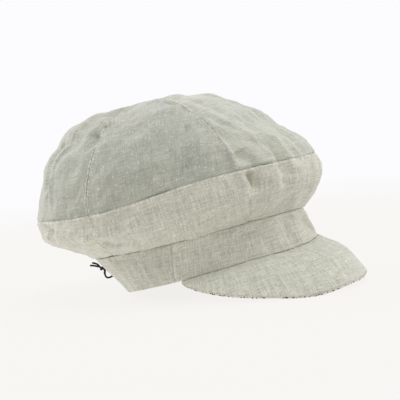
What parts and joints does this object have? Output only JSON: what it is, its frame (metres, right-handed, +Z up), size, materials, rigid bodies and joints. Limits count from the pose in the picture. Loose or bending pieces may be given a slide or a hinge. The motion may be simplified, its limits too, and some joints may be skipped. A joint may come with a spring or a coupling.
{
  "type": "linen mariner cap with gathered crown and peak",
  "caption": "Soft linen mariner cap with a full seamed crown, plain band, stiff curved peak and an elastic cord tied at the back.",
  "frame": {"origin": "middle of the cap's footprint on the surface that it rests on", "axes": "+Z up, -Y the front of the cap, where the peak is, +X the wearer's left"},
  "size_m": [0.2726, 0.3484, 0.1952],
  "materials": {
    "linen": "slubby plain-weave linen, greenish grey",
    "printed_cotton": "off-white cotton with a small printed sprig",
    "elastic": "black round elastic"
  },
  "bodies": {
    "root": {"side_panel_1": "linen", "side_panel_2": "linen", "side_panel_3": "linen", "side_panel_4": "linen", "side_panel_5": "linen", "side_panel_6": "linen", "crown_panel_1": "linen", "crown_panel_2": "linen", "crown_panel_3": "linen", "crown_panel_4": "linen", "crown_panel_5": "linen", "crown_panel_6": "linen", "band_front": "linen", "band_back": "linen", "peak_top": "linen", "peak_facing": "printed_cotton", "elastic_cord": "elastic", "cord_knot": "elastic"}
  },
  "joints": []
}
